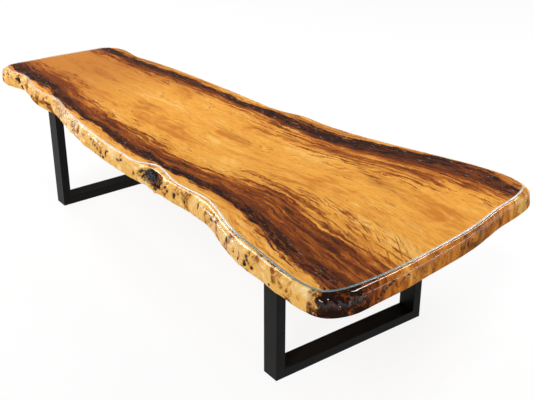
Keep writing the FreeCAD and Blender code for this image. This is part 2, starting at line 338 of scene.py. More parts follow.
class StageSettings(bpy.types.PropertyGroup):
    """Camera, floor and light"""

    camera_place: FloatVectorProperty(
        name="Camera place",
        description="Place of the camera",
        default=(3.9615, -2.6399, 2.6330),
        subtype="XYZ",
    )
    camera_yaw: amount("Yaw", "Turn of the camera", math.radians(53.6846), "ANGLE")
    camera_pitch: amount("Pitch", "Downward tilt of the camera", math.radians(26.2889), "ANGLE")
    lens: amount("Lens", "Focal length in millimetres", 62.95)
    world_level: amount("World level", "Brightness of the surroundings", 0.06)
    sky_level: amount("Sky level", "Brightness of the soft light from above", 2.1)
    sky_width: amount("Sky width", "Apparent width of the soft light", math.radians(22), "ANGLE")
    strip_power: amount("Front strip", "Power of the strip along the table", 220.0)
    end_power: amount("End strip", "Power of the strip across the table", 150.0)
    glint_power: amount("Glint panel", "Power of the panel that glints on the front edge", 36.0)
    line_power: amount("Line panel", "Power of the panel that draws a line along the wide end", 45.0)
    floor: colour("Floor", "Pale floor", (0.98, 0.98, 0.98, 1.0))
    floor_half: length("Floor half", "Half the side of the floor", 90.0)
    floor_glow: amount("Floor glow", "Share of the floor that shows as plain white", 0.88, "FACTOR")


class Field:
    """Output of a node, which is added, multiplied and divided like a number."""

    def __init__(self, socket):
        self.socket = socket

    def __add__(self, other):
        return calc("ADD", self, other)

    def __sub__(self, other):
        return calc("SUBTRACT", self, other)

    def __rsub__(self, other):
        return calc("SUBTRACT", other, self)

    def __mul__(self, other):
        return calc("MULTIPLY", self, other)

    def __truediv__(self, other):
        return calc("DIVIDE", self, other)

    def __abs__(self):
        return calc("ABSOLUTE", self)

    __radd__ = __add__
    __rmul__ = __mul__


def add(tree, kind, inputs=(), **settings):
    """Add one shader node with its settings and inputs."""
    node = tree.nodes.new("ShaderNode" + kind)
    for name, value in settings.items():
        setattr(node, name, value)
    plug(node, dict(inputs))
    return node


def plug(node, inputs):
    """Link the inputs of a node to fields, or set them to values."""
    for name, value in inputs.items():
        if isinstance(value, Field):
            node.id_data.links.new(value.socket, node.inputs[name])
        else:
            node.inputs[name].default_value = value


def feed(node, **inputs):
    """Link or set inputs of a node that are named with underscores for spaces."""
    plug(node, {name.replace("_", " "): value for name, value in inputs.items()})


def made(tree, kind, inputs=(), out=0, **settings):
    """Output of one added shader node."""
    return Field(add(tree, kind, inputs, **settings).outputs[out])


def outputs_of(node):
    """Outputs of a node by name."""
    return {socket.name: Field(socket) for socket in node.outputs}


def tree_of(*values):
    """Node tree of the first field among the values."""
    return next(value.socket.id_data for value in values if isinstance(value, Field))


def calc(operation, first, second=0.0):
    """Operation on one or two values."""
    return made(tree_of(first, second), "Math", {0: first, 1: second}, operation=operation)


def largest(*values):
    """Largest of values."""
    return reduce(lambda first, second: calc("MAXIMUM", first, second), values)


def smallest(*values):
    """Smallest of values."""
    return reduce(lambda first, second: calc("MINIMUM", first, second), values)


def remap(value, low, high, to_low=0.0, to_high=1.0, kind="SMOOTHSTEP"):
    """Value moved from one range to another, held at both ends."""
    inputs = {"Value": value, "From Min": low, "From Max": high, "To Min": to_low, "To Max": to_high}
    return made(tree_of(value), "MapRange", inputs, interpolation_type=kind)


def mix(share, first, second):
    """Blend of two colours."""
    inputs = {0: share, 6: first, 7: second}
    return made(tree_of(share, first, second), "Mix", inputs, 2, data_type="RGBA")


def clouds(vector, scale, detail=2.0, rough=0.5, distortion=0.0):
    """Soft noise between 0 and 1."""
    inputs = {"Vector": vector, "Scale": scale, "Detail": detail}
    inputs |= {"Roughness": rough, "Distortion": distortion}
    return remap(made(tree_of(vector), "TexNoise", inputs, "Fac"), *NOISE_RANGE, kind="LINEAR")


def streaks(vector, factors, detail=2.0, rough=0.5, distortion=0.0):
    """Soft noise between 0 and 1 with its own fineness along each axis."""
    stretched = made(tree_of(vector), "VectorMath", {0: vector, 1: factors}, operation="MULTIPLY")
    return clouds(stretched, 1.0, detail, rough, distortion)


def painted(tree, name):
    """Value that the mesh carries under a name."""
    return made(tree, "Attribute", out="Fac", attribute_name=name)


def axes_of(vector):
    """Three parts of a vector."""
    return list(outputs_of(add(tree_of(vector), "SeparateXYZ", {0: vector})).values())


def joined(x, y, z):
    """Vector of three parts."""
    return made(tree_of(x, y, z), "CombineXYZ", {0: x, 1: y, 2: z})


def shades(value, *stops):
    """Colour read from a ramp of (place, colour) stops."""
    node = add(tree_of(value), "ValToRGB", {"Fac": value})
    elements = node.color_ramp.elements
    while len(elements) < len(stops):
        elements.new(0.5)
    for element, (place, shade) in zip(elements, stops):
        element.position = place
        element.color = shade
    return Field(node.outputs["Color"])


def station_line(along, stations, column):
    """Value of one column of the stations, read along the line that they follow."""
    values = [station[column] for station in stations]
    low = min(values)
    span = max(values) - low
    node = add(tree_of(along), "FloatCurve", {"Value": along})
    curve = node.mapping.curves[0]
    while len(curve.points) < len(stations):
        curve.points.new(0.5, 0.5)
    for point, station in zip(curve.points, stations):
        share = (station[0] + FIGURE_REACH) / (2 * FIGURE_REACH)
        point.location = (share, (station[column] - low) / span)
    node.mapping.update()
    return span * Field(node.outputs[0]) + low


def spot(axes, middle, reach):
    """Soft oval round a place on the top."""
    along, across = ((axes[n] - middle[n]) / reach[n] for n in (0, 1))
    return remap(along * along + across * across, 1.0, 0.1)


def new_group(name, inputs, outputs):
    """Empty node group, its inputs by name and its end node."""
    tree = bpy.data.node_groups.new(name, "ShaderNodeTree")
    for label, kind in inputs:
        tree.interface.new_socket(label, in_out="INPUT", socket_type="NodeSocket" + kind)
    for label, kind in outputs:
        tree.interface.new_socket(label, in_out="OUTPUT", socket_type="NodeSocket" + kind)
    return tree, outputs_of(tree.nodes.new("NodeGroupInput")), tree.nodes.new("NodeGroupOutput")


def grouped(group, place, **inputs):
    """Outputs by name of a node group used at the places of a surface."""
    return outputs_of(add(tree_of(place), "Group", {"Vector": place, **inputs}, node_tree=group))


def new_material(name):
    """Empty material, its node tree, its shader and the object coordinates."""
    material = bpy.data.materials.new(name)
    material.use_nodes = True
    tree = material.node_tree
    return material, tree, tree.nodes["Principled BSDF"], made(tree, "TexCoord", out="Object")


def bump(shader, height, strength, distance):
    """Fine relief on a shader."""
    inputs = {"Height": height, "Strength": strength, "Distance": distance}
    feed(shader, Normal=made(tree_of(height), "Bump", inputs))


def gloss(shader, density, weight=1.0):
    """Clear lacquer over a wood shader."""
    feed(shader, Coat_Weight=weight, Coat_Roughness=LACQUER_ROUGHNESS, Coat_IOR=density)
    feed(shader, Specular_IOR_Level=0.0)


class SlabFigure:
    """Figure of the slab: fields that run with the grain, and markings laid over each other."""

    def __init__(self, slab, place):
        self.slab, self.place = slab, place
        self.axes = axes_of(place)
        self.along = remap(self.axes[0], -FIGURE_REACH, FIGURE_REACH, kind="LINEAR")
        sway = streaks(place, (1.6, 3.5, 3.5)) + streaks(place, (8.0, 18.0, 18.0), 4.0, 0.6)
        self.across = self.axes[1] + 0.03 * (sway - 1.0)
        self.front = [station_line(self.along, FRONT_BAND, n) for n in (1, 2, 3)]
        self.back = [station_line(self.along, BACK_BAND, n) for n in (1, 2, 3)]
        self.from_front = self.across - self.front[0]
        self.from_back = self.back[0] - self.across
        flow = self.from_front / (self.back[0] - self.front[0])
        self.grain = joined(self.axes[0], flow, self.axes[2])
        self.mottle = streaks(place, (5.0, 9.0, 9.0), 4.0, 0.6, 0.6)
        self.torn = streaks(place, (15.0, 34.0, 34.0), 5.0, 0.68, 0.8)
        self.streak = streaks(self.grain, (1.9, 26.0, 12.0), 5.0, 0.62, 0.25)
        self.strands = streaks(self.grain, (4.5, 60.0, 20.0), 5.0, 0.65, 0.5)
        self.threads = streaks(self.grain, (7.0, 110.0, 40.0), 4.0, 0.65, 0.4)
        self.fibre = streaks(self.grain, (12.0, 190.0, 60.0), 3.0, 0.6)

    def redden(self, wood, share, strength):
        """Wood stained red-brown by a share."""
        return mix(strength * share, wood, self.slab.red_brown)

    def heartwood(self):
        """Golden wood with lighter sapwood along the rims."""
        slab = self.slab
        broad = streaks(self.grain, (1.3, 7.0, 5.0), 3.0, 0.55, 0.3)
        body = 0.6 * broad + 0.45 * (self.mottle + self.streak) - 0.25
        golds = (0.22, slab.deep_gold), (0.45, slab.gold), (0.58, slab.gold), (0.80, slab.pale_gold)
        wood = shades(body, *golds)
        # Darker gold towards the narrow end, partly painted shade against the stronger light there
        wood = mix(remap(self.axes[0], -0.40, -1.4, 0.0, 0.76), wood, slab.dull_gold_and_shade)
        rim = smallest(self.from_front, self.from_back)
        saps = (0.12, slab.amber), (0.40, slab.gold), (0.70, slab.rim_gold)
        wood = mix(remap(rim, -0.02, -0.07), wood, shades(self.strands, *saps))
        rust = remap(self.from_back, -0.01, -0.05) * remap(self.streak, 0.62, 0.36)
        wood = self.redden(wood, rust, 0.75)
        return mix(remap(self.fibre, 0.15, 0.60, 0.60, 0.0), wood, slab.deep_gold)

    def band_masks(self, inward, half, reach, pale_depth):
        """Depth of one band's red-brown halo and share of its core, by the way in from its middle."""
        depth = inward / reach
        falloff = smallest(1.0 - depth, 1.0 + inward / (1.15 * half))
        rough = self.streak + self.strands - 1.0
        hold = remap(falloff, 0.0, 1.0, 1.1, 0.45, "LINEAR")
        pale = remap(self.axes[0], -0.9, -0.2, 0.0, 0.42)
        lull = remap(abs(depth - pale_depth), 0.18, 0.03, 0.0, pale)
        halo = falloff + rough * hold - lull * remap(self.streak, 0.25, 0.65)
        core = 1.5 * self.strands + 0.9 * (self.streak + self.torn) - abs(inward) / half
        return halo, remap(core, 0.75, 1.15)

    def bands(self, wood):
        """Two dark bands with red-brown halos, black cores, soot, and grey flecks that are painted
        glints.
        """
        slab, threads = self.slab, self.threads
        front_halo, front_core = self.band_masks(self.from_front, *self.front[1:], 0.24)
        back_halo, back_core = self.band_masks(self.from_back, *self.back[1:], 0.45)
        halo = largest(front_halo, back_halo)
        core = largest(front_core, back_core)
        ember = shades(
            halo,
            (0.05, slab.deep_gold), (0.28, slab.amber), (0.50, slab.red_brown), (0.78, slab.dark_brown),
        )
        ember = mix(remap(threads, 0.46, 0.18, 0.0, 0.85), ember, slab.black_brown)
        ember = mix(remap(threads, 0.58, 0.90, 0.0, 0.60), ember, slab.amber)
        wood = mix(remap(halo, 0.02, 0.30), wood, ember)
        fringe = remap(halo, -0.75, 0.05) * remap(threads, 0.4, 0.2)
        wood = self.redden(wood, fringe, 0.6)
        lift = remap(self.axes[0], 0.85, 1.40, -0.03, 0.17)
        blacks = (0.42, slab.black_brown), (0.60, slab.dark_brown), (0.84, slab.red_brown)
        wood = mix(core, wood, shades(threads + lift, *blacks))
        soot = remap(streaks(self.place, (11.0, 34.0, 34.0), 5.0, 0.7, 0.6), 0.50, 0.66)
        near = largest(core, remap(halo, 0.45, 0.85, 0.0, 0.7))
        wood = mix(0.75 * soot * near, wood, slab.black_brown)
        # Painted glints: grey flecks over the black cores
        glint_fleck = remap(streaks(self.place, (24.0, 62.0, 62.0), 4.0, 0.7), 0.70, 0.92)
        return mix(0.9 * glint_fleck * core, wood, slab.painted_glint_grey)

    def feathers(self, wood, share):
        """Curved dark strokes inside the front band, near the wide end."""
        axes = self.axes
        bend = axes[0] - 1.05
        bend = 0.62 * bend * bend
        quill = joined(axes[0], axes[1] + bend, 0.0)
        dash = streaks(quill, (7.0, 75.0, 1.0), 4.0, 0.6, 0.1)
        region = remap(axes[0], 0.45, 0.8) * remap(axes[0], 1.72, 1.55)
        beside = remap(abs(axes[1] + 0.235), 0.17, 0.04)
        return self.redden(wood, remap(dash, 0.58, 0.78) * region * beside * share, 0.85)

    def branch(self, wood):
        """Broken brown line that leaves the back band."""
        twig, share = (station_line(self.along, BRANCH, n) for n in (1, 2))
        near = remap(abs(self.across - twig), 0.034, 0.004)
        return self.redden(wood, share * remap(self.threads, 0.62, 0.3) * near, 0.8)

    def smudges(self, wood):
        """Brown smudges in the heartwood."""
        for middle, reach, strength in SMUDGES:
            oval = spot(self.axes, middle, reach)
            wood = self.redden(wood, oval * remap(self.strands, 0.25, 0.75), strength)
        return wood

    def hairs(self, wood):
        """Hair lines that follow the grain and fade out at the wide end."""
        hair = streaks(self.grain, (1.2, 6.0, 3.0), 3.0, 0.5)
        hair = remap(abs(hair - 0.42), 0.01, 0.002) * remap(self.mottle, 0.4, 0.62)
        return self.redden(wood, hair * remap(self.axes[0], 1.25, 0.85), 0.55)


def figure_group(slab):
    """Figure of the slab: golden wood between two dark bands that run with the grain."""
    tree, start, end = new_group(
        "Slab figure",
        [("Vector", "Vector"), ("Feather", "Float")],
        [("Color", "Color"), ("Fibre", "Float")],
    )
    figure = SlabFigure(slab, start["Vector"])
    wood = figure.bands(figure.heartwood())
    wood = figure.feathers(wood, start["Feather"])
    wood = figure.hairs(figure.smudges(figure.branch(wood)))
    feed(end, Color=wood, Fibre=figure.fibre)
    return tree


def figured_top(figure):
    """Polished top under the clear layer."""
    material, _, shader, place = new_material("figured_top")
    wood = grouped(figure, place, Feather=1.0)
    feed(shader, Base_Color=wood["Color"])
    feed(shader, Roughness=remap(wood["Fibre"], 0.3, 0.7, 0.42, 0.30))
    gloss(shader, TOP_LACQUER)
    return material


def burl(slab, axes, blotch, curl):
    """Tan burl of the live edge, with brown veins and pale stretches of painted sheen."""
    wood = shades(
        0.9 * blotch + 0.45 * curl - 0.2,
        (0.22, slab.burl_brown), (0.42, slab.burl_tan), (0.60, slab.burl_tan), (0.85, slab.burl_pale),
    )
    vein = remap(abs(curl - 0.46), 0.05, 0.012) * remap(blotch, 0.52, 0.3)
    wood = mix(0.75 * vein, wood, slab.burl_brown)
    # Painted sheen: cream stretches along the front edge
    for middle, reach, strength in SHEEN_STRETCHES:
        pale = remap(abs(axes[0] - middle), reach, 0.4 * reach) * remap(curl, 0.25, 0.65)
        wood = mix(strength * pale, wood, slab.sheen_cream)
    return wood


def end_grain(slab, place, axes, figured):
    """Wood of the sawn ends, toned across the slab."""
    grain = streaks(place, (6.0, 15.0, 8.0), 5.0, 0.62, 0.9)
    across = remap(axes[1], -FIGURE_REACH, FIGURE_REACH, kind="LINEAR")
    wood = shades(
        station_line(across, END_TONE, 1) + 0.8 * grain - 0.4,
        (0.05, slab.black_brown), (0.22, slab.dark_brown), (0.36, slab.red_brown),
        (0.50, slab.amber), (0.66, slab.deep_gold), (0.92, slab.burl_tan),
    )
    return mix(0.2, wood, figured)


def scorched(slab, wood, char, blotch, curl):
    """Wood darkened raggedly towards the folded corner."""
    ragged = (1.2 * curl + 0.6 * blotch - 0.9) * remap(char, 0.0, 0.3)
    scorch = 1.1 * char + ragged
    wood = mix(remap(scorch, 0.05, 0.35, 0.0, 0.85), wood, slab.red_brown)
    coal = shades(
        curl,
        (0.56, slab.black_brown), (0.72, slab.dark_brown), (0.88, slab.red_brown), (1.0, slab.amber),
    )
    return mix(remap(scorch, 0.30, 0.60), wood, coal)


def edge_darks(place, pit, sawn, blotch, curl):
    """Mask of the edge's pinholes, cracks and mouths of pits, with the painted shade of the knobs'
    creases and the knot's hollow.
    """
    cells = made(tree_of(place), "TexVoronoi", {"Vector": place, "Scale": 80.0}, "Distance")
    hole = remap(cells, 0.3, 0.18) * remap(clouds(place, 7.0), 0.62, 0.80)
    split = streaks(place, (7.0, 24.0, 6.0), 5.0, 0.65, 0.8)
    crack = remap(abs(split - 0.42), 0.035, 0.008) * sawn * remap(blotch, 0.62, 0.4)
    mouth_and_shade = remap(pit + 0.5 * curl - 0.25, 0.38, 0.72) * remap(pit, 0.0, 0.2)
    return largest(hole, 0.85 * crack, mouth_and_shade)


def edge_lacquer(axes, blotch, pit, char, down):
    """Share of the lacquer: full under the arris, thin below, wet in pits, folds and knobs."""
    sheen = remap(down, 0.44, 0.22, 0.08, 1.0)
    folds = char * remap(down, 0.65, 0.35, 0.1, 1.0)
    pools = remap(pit, 0.3, 0.6, 0.0, 0.6)
    knobs = remap(axes[0], -0.15, -0.5) * remap(blotch, 0.35, 0.6) * remap(down, 0.8, 0.55)
    return largest(sheen, folds, pools, knobs)


def live_edge(slab, figure):
    """Natural edge with burl, pits and pinholes, painted shade in its pits, creases and hollow, and sawn
    ends that carry the figure down.
    """
    material, tree, shader, place = new_material("live_edge_wood")
    figured = grouped(figure, place, Feather=0.0)["Color"]
    pit, sawn, char, down = (painted(tree, name) for name in EDGE_LAYERS)
    axes = axes_of(place)
    blotch = clouds(place, 9.0, 5.0, 0.58, 0.9)
    curl = clouds(place, 30.0, 4.0, 0.6, 1.4)
    ends = end_grain(slab, place, axes, figured)
    wood = mix(sawn, burl(slab, axes, blotch, curl), ends)
    wood = scorched(slab, wood, char, blotch, curl)
    # Brown round pits, creases and the knot's hollow: partly brown wood, partly painted shade
    stain_and_shade = remap(pit, 0.0, 0.4) * remap(curl, 0.25, 0.7)
    wood = mix(0.8 * stain_and_shade, wood, slab.burl_brown)
    dark = edge_darks(place, pit, sawn, blotch, curl)
    feed(shader, Base_Color=mix(dark, wood, slab.pit_dark_and_shade))
    feed(shader, Roughness=remap(curl, 0.3, 0.7, 0.26, 0.40))
    gloss(shader, EDGE_LACQUER, edge_lacquer(axes, blotch, pit, char, down))
    bump(shader, 0.35 * curl - dark, 0.3, 0.0015)
    return material


def oiled_underside(slab, figure):
    """Flat underside, sealed but not polished."""
    material, _, shader, place = new_material("sealed_underside")
    figured = grouped(figure, place, Feather=0.0)["Color"]
    saw = streaks(place, (260.0, 6.0, 1.0))
    feed(shader, Base_Color=mix(0.25, figured, slab.oil_brown))
    feed(shader, Roughness=remap(saw, 0.3, 0.7, 0.5, 0.62))
    bump(shader, saw, 0.15, 0.0006)
    return material


def clear_face(coat):
    """Flat of the clear layer, which shows the wood below it."""
    material, _, shader, _ = new_material("clear_coat_face")
    feed(shader, Base_Color=WHITE, Roughness=LACQUER_ROUGHNESS, Alpha=coat.face_share)
    return material


def clear_lip(coat):
    """Lip of the clear layer, painted white as a highlight of the light that it catches."""
    material, tree, shader, place = new_material("clear_coat_lip")
    axes = axes_of(place)
    depth = remap(axes[0], 0.95, 1.15) * remap(axes[1], -0.1, -0.45, 0.2, 1.0)
    feed(shader, Base_Color=mix(depth, coat.lip_highlight_white, coat.lip_teal), Roughness=0.08)
    feed(shader, Coat_Weight=1.0, Coat_Roughness=LACQUER_ROUGHNESS)
    haze = remap(clouds(place, 7.0, 3.0), 0.2, 0.7, 0.75, 1.0)
    # The painted highlight is weaker towards the narrow end
    fade = remap(axes[0], -0.7, 0.1, 0.55, 1.0)
    feed(shader, Alpha=painted(tree, "lip") * fade * haze)
    return material


def knot_wood(knot):
    """Dark glossy knot with an orange-brown ring."""
    material, tree, shader, place = new_material("dark_knot_wood")
    lumps = clouds(place, 60.0, 5.0, 0.65, 0.8)
    shade = shades(lumps, (0.45, knot.coal), (0.75, knot.coal), (0.95, knot.ember))
    ring = painted(tree, "ring") + 0.8 * lumps - 0.4
    feed(shader, Base_Color=mix(remap(ring, 0.45, 1.0), shade, knot.ember))
    feed(shader, Roughness=remap(lumps, 0.3, 0.7, 0.18, 0.4))
    gloss(shader, TOP_LACQUER, 0.85)
    bump(shader, lumps, 0.8, 0.005)
    return material


def wear_group():
    """Fine mottling and soft handling marks, shared by the metals and the rubber."""
    tree, start, end = new_group(
        "Fine wear",
        [("Vector", "Vector"), ("Grain", "Float")],
        [("Speckle", "Float"), ("Smear", "Float")],
    )
    feed(end, Speckle=clouds(start["Vector"], start["Grain"], 3.0, 0.6))
    feed(end, Smear=streaks(start["Vector"], (3.0, 3.0, 5.0), 4.0, 0.6))
    return tree


def worn_finish(name, wear, shade, grain, rough, metal, relief):
    """Metal or rubber finish with fine mottling."""
    material, _, shader, place = new_material(name)
    marks = grouped(wear, place, Grain=grain)
    lift = (*(min(1.0, 1.3 * part) for part in shade[:3]), 1.0)
    patch = remap(marks["Smear"], 0.35, 0.65)
    feed(shader, Base_Color=mix(patch, tuple(shade), lift), Metallic=metal)
    feed(shader, Specular_IOR_Level=0.5 if metal else 0.07)
    feed(shader, Roughness=remap(marks["Speckle"], 0.3, 0.7, rough - 0.07, rough + 0.07))
    bump(shader, marks["Speckle"], relief, 0.0004)
    return material


def arris_points():
    """Points round the top edge of the slab's solid, anticlockwise from above."""
    shell = bmesh.new()
    shell.from_mesh(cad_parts["live_edge_slab"].data)
    bmesh.ops.remove_doubles(shell, verts=shell.verts, dist=SAME_POINT)
    shell.normal_update()
    level = slab_high.z - TOP_SLACK
    top = {face for face in shell.faces if all(vert.co.z > level for vert in face.verts)}
    loops = (loop for face in top for loop in face.loops)
    border = (loop for loop in loops if len(top.intersection(loop.edge.link_faces)) == 1)
    follow = {loop.vert: loop.link_loop_next.vert for loop in border}
    here = min(follow, key=lambda vert: vert.co.x)
    points = []
    while here in follow:
        points.append(here.co.copy())
        here = follow.pop(here)
    shell.free()
    return points


def smooth_loop(points, spacing):
    """Closed smooth curve through the points, as an array of evenly spaced places."""
    count = len(points)
    runs = [(points[(i + 1) % count] - points[i - 1]).normalized() for i in range(count)]
    dense = []
    for i, point in enumerate(points):
        after = points[(i + 1) % count]
        arm = (after - point).length / 3
        handles = (point + runs[i] * arm, after - runs[(i + 1) % count] * arm)
        dense += geometry.interpolate_bezier(point, *handles, after, CURVE_STEPS)[:-1]
    line = np.array([tuple(point) for point in dense + dense[:1]])
    way = np.concatenate([[0.0], np.cumsum(np.linalg.norm(np.diff(line, axis=0), axis=1))])
    marks = np.linspace(0.0, way[-1], int(way[-1] / spacing), endpoint=False)
    return np.stack([np.interp(marks, way, line[:, axis]) for axis in range(3)], axis=1)


def outward_runs(points):
    """Level outward direction at each point of a closed line."""
    run = np.roll(points, -RUN_STEP, axis=0) - np.roll(points, RUN_STEP, axis=0)
    out = np.stack([run[:, 1], -run[:, 0], np.zeros(len(run))], axis=1)
    return out / np.linalg.norm(out, axis=1)[:, None]


def belly_widths(points, outward, height):
    """How far the solid's belly stands out past the arris at each point."""
    corners, faces = [], []
    for name in ("live_edge_slab", "edge_knot"):
        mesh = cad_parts[name].data
        faces += [[corner + len(corners) for corner in face.vertices] for face in mesh.polygons]
        corners += [vert.co.copy() for vert in mesh.vertices]
    solid = BVHTree.FromPolygons(corners, faces)
    widths = []
    for point, out in zip(points, outward):
        start = Vector((*point[:2], height)) + BELLY_RAY * Vector(out)
        distance = solid.ray_cast(start, -Vector(out), BELLY_RAY)[3]
        widths.append(0.0 if distance is None else BELLY_RAY - distance)
    return np.array(widths)


def bridged(values, low, high):
    """Values with those outside the range bridged over, then smoothed round the loop."""
    count = len(values)
    kept = np.flatnonzero((values > low) & (values < high))
    filled = np.interp(np.arange(count), kept, values[kept], period=count)
    kernel = np.hanning(2 * SMOOTHING + 1)
    padded = np.concatenate([filled[-SMOOTHING:], filled, filled[:SMOOTHING]])
    return np.convolve(padded, kernel / kernel.sum(), mode="valid")


def edge_rows(slab):
    """Rows of the edge profile as (drop below the arris, share of the belly, set in)."""
    thickness = slab_high.z - slab_low.z
    share = slab.round_share
    rows = []
    for step in range(ROUND_STEPS + 1):
        angle = math.radians(90 * step / ROUND_STEPS)
        rows.append((slab.round_over * (1 - math.cos(angle)), share * math.sin(angle), 0.0))
    straight = thickness - slab.round_over - slab.belly_rise
    for step in range(1, SIDE_STEPS + 1):
        way = step / SIDE_STEPS
        rows.append((slab.round_over + straight * way, share + (1 - share) * way, 0.0))
    for step in range(1, TUCK_STEPS + 1):
        angle = math.radians(90 * step / TUCK_STEPS)
        drop = thickness - slab.belly_rise * (1 - math.sin(angle))
        rows.append((drop, 1.0, slab.tuck_in * (1 - math.cos(angle))))
    return rows


def ease(value, low, high):
    """Smooth step from 0 to 1 between two values."""
    share = min(1.0, max(0.0, (value - low) / (high - low)))
    return share * share * (3 - 2 * share)


def pit_relief(along, girth, pits):
    """Height and darkness of the pits at a place along an edge; the darkness is partly painted shade in
    them.
    """
    depth = 0.0
    dark = 0.0
    for middle, down, half_length, half_height, most in pits:
        if abs(middle - along) < 1.4 * half_length:
            cell = PIT_FINENESS * Vector((along, girth, 0.1 * middle))
            wobble = PIT_WOBBLE * noise.noise(cell)
            apart = math.hypot((along - middle) / half_length, (girth - down) / half_height) + wobble
            if apart < 1.0:
                depth = max(depth, most * (1 - max(apart, 0.0) ** 2) ** 1.5)
            dark = max(dark, 1 - ease(apart, 0.25, 1.25))
    return -depth, dark


def corner_relief(slab, place, girth, span):
    """Height of the folds in the dark corner, and the share of the corner at a place."""
    across = CORNER_SQUASH * (place.y - DARK_CORNER[1])
    apart = math.hypot(place.x - DARK_CORNER[0], across) + 0.03 * noise.noise(place * 24.0)
    share = 1 - ease(apart, *CORNER_FADE)
    if share == 0:
        return 0.0, 0.0
    bent = place + 0.02 * noise.noise_vector(place * 14.0)
    crease = abs(noise.noise(Vector((bent.x * 26, bent.y * 26, bent.z * 15))))
    crease = min(crease, 0.4) + 0.3 * abs(noise.noise(bent * 70.0))
    return share * ease(span - girth, 0.012, 0.05) * slab.fold_depth * (2.2 * crease - 0.55), share


def knob_relief(slab, place, girth, span):
    """Height of the knobs and creases towards the narrow end, and painted shade in the creases."""
    share = ease(-place.x, *KNOB_REACH) * ease(span - girth, 0.010, 0.045)
    bent = place + 0.016 * noise.noise_vector(place * 14.0)
    crease = abs(noise.noise(bent * 23.0))
    # Painted shade in the creases between the knobs
    recess = (1 - ease(crease, 0.0, CREASE_SHADE)) * ease(noise.noise(place * 12.0), -0.05, 0.35)
    crest = min(crease / KNOB_CREST, 1.0)
    return share * slab.knob_depth * (crest - 0.6), 0.6 * share * recess


def hollow_relief(slab, oval, place):
    """Height of the knot's hollow and of the collar round it, and the darkness over them, partly painted
    shade in the hollow.
    """
    middle, half = oval
    wobble = 0.30 * noise.noise(place * 34.0) + 0.15 * noise.noise(place * 80.0)
    apart = math.hypot((place.x - middle.x) / half.x, (place.z - middle.z) / half.z) + wobble
    collar = slab.collar * math.exp(-((apart - COLLAR_RING) / COLLAR_WIDTH) ** 2)
    hollow = slab.hollow_depth * (1 - ease(apart, *HOLLOW_RIM))
    # Darkness over the hollow and collar: brown round the knot and painted shade in the hollow
    return collar - hollow, 0.68 * (1 - ease(apart, *HOLLOW_SHADE))


def edge_relief(slab, oval, place, out, girth, span):
    """Height along the normal, darkness, sawn share and charred share at a place on the edge; the
    darkness is dark pits with painted shade in pits, creases and the knot's hollow.
    """
    sawn = ease(abs(out[0]), *SAWN_TURN)
    hold = ease(girth, *RELIEF_START) * ease(span - girth, *RELIEF_END)
    lumps = noise.noise(place * LUMP_SCALES[0])
    lumps += 0.5 * noise.noise(place * LUMP_SCALES[1] + Vector((3, 1, 2)))
    ripples = noise.noise(place * RIPPLE_SCALES[0]) + 0.6 * noise.noise(place * RIPPLE_SCALES[1])
    height = (slab.lump_height * lumps + slab.ripple_height * ripples) * (1 - SAWN_FLAT * sawn)
    folds, char = corner_relief(slab, place, girth, span)
    marks = []
    if out[1] < -FRONT_TURN:
        marks.append(pit_relief(place.x, girth, FRONT_PITS))
        marks.append(knob_relief(slab, place, girth, span))
        marks.append(hollow_relief(slab, oval, place))
    elif out[0] > END_TURN:
        marks.append(pit_relief(place.y, girth, END_SPLITS))
    height += folds + sum(mark[0] for mark in marks)
    dark = max((mark[1] for mark in marks), default=0.0)
    return hold * height, hold * dark, sawn, char


def wrapped_grid(shell, columns, rows):
    """Grid with its two sides over each other, as a dictionary of (column, row) to vertices."""
    grid = bmesh.ops.create_grid(shell, x_segments=columns, y_segments=rows - 1, size=0.5)
    cells = {}
    for vert in grid["verts"]:
        column = round((vert.co.x + 0.5) * columns) % columns
        row = round((0.5 - vert.co.y) * (rows - 1))
        cells.setdefault((column, row), []).append(vert)
    return cells


def wrap_edge(shell, slab, oval):
    """Wrap a grid round the slab's edge, with its relief and the values that its wood reads."""
    points = smooth_loop(arris_points(), slab.spacing)
    outward = outward_runs(points)
    belly = bridged(belly_widths(points, outward, slab_low.z + slab.belly_rise), *BELLY_RANGE)
    rows = edge_rows(slab)
    profile = [(share * float(belly.mean()) - inset, drop) for drop, share, inset in rows]
    girths = [0.0]
    for here, after in zip(profile, profile[1:]):
        girths.append(girths[-1] + math.dist(here, after))
    layers = [shell.verts.layers.float.new(name) for name in EDGE_LAYERS]
    for (column, row), verts in wrapped_grid(shell, len(points), len(rows)).items():
        drop, share, inset = rows[row]
        out = Vector(outward[column])
        place = Vector(points[column]) + out * (share * belly[column] - inset)
        place.z = slab_high.z - drop
        before, after = profile[max(row - 1, 0)], profile[min(row + 1, len(rows) - 1)]
        normal = (out * (after[1] - before[1]) + Vector((0, 0, after[0] - before[0]))).normalized()
        height, *values = edge_relief(slab, oval, place, out, girths[row], girths[-1])
        values.append(girths[row] / girths[-1])
        for vert in verts:
            vert.co = place + normal * height
            for layer, value in zip(layers, values):
                vert[layer] = value


def close_shell(shell, side_slot, top_slot, under_slot):
    """Weld the grid's sides, close its top and underside, and point the faces outwards."""
    bmesh.ops.remove_doubles(shell, verts=shell.verts, dist=SEAM_GAP)
    for face in shell.faces:
        face.smooth = True
        face.material_index = side_slot
    rims = [edge for edge in shell.edges if edge.is_boundary]
    caps = bmesh.ops.holes_fill(shell, edges=rims, sides=0)["faces"]
    high = max(caps, key=lambda face: face.calc_center_median().z)
    for face in caps:
        face.smooth = False
        face.material_index = top_slot if face is high else under_slot
    bmesh.ops.recalc_face_normals(shell, faces=shell.faces)


def put(name, data):
    """Object at the origin, linked to the scene."""
    holder = bpy.data.objects.new(name, data)
    bpy.context.scene.collection.objects.link(holder)
    return holder


def put_shell(name, shell, *materials):
    """Object made of a finished shell."""
    mesh = bpy.data.meshes.new(name)
    shell.to_mesh(mesh)
    shell.free()
    for material in materials:
        mesh.materials.append(material)
    return put(name, mesh)


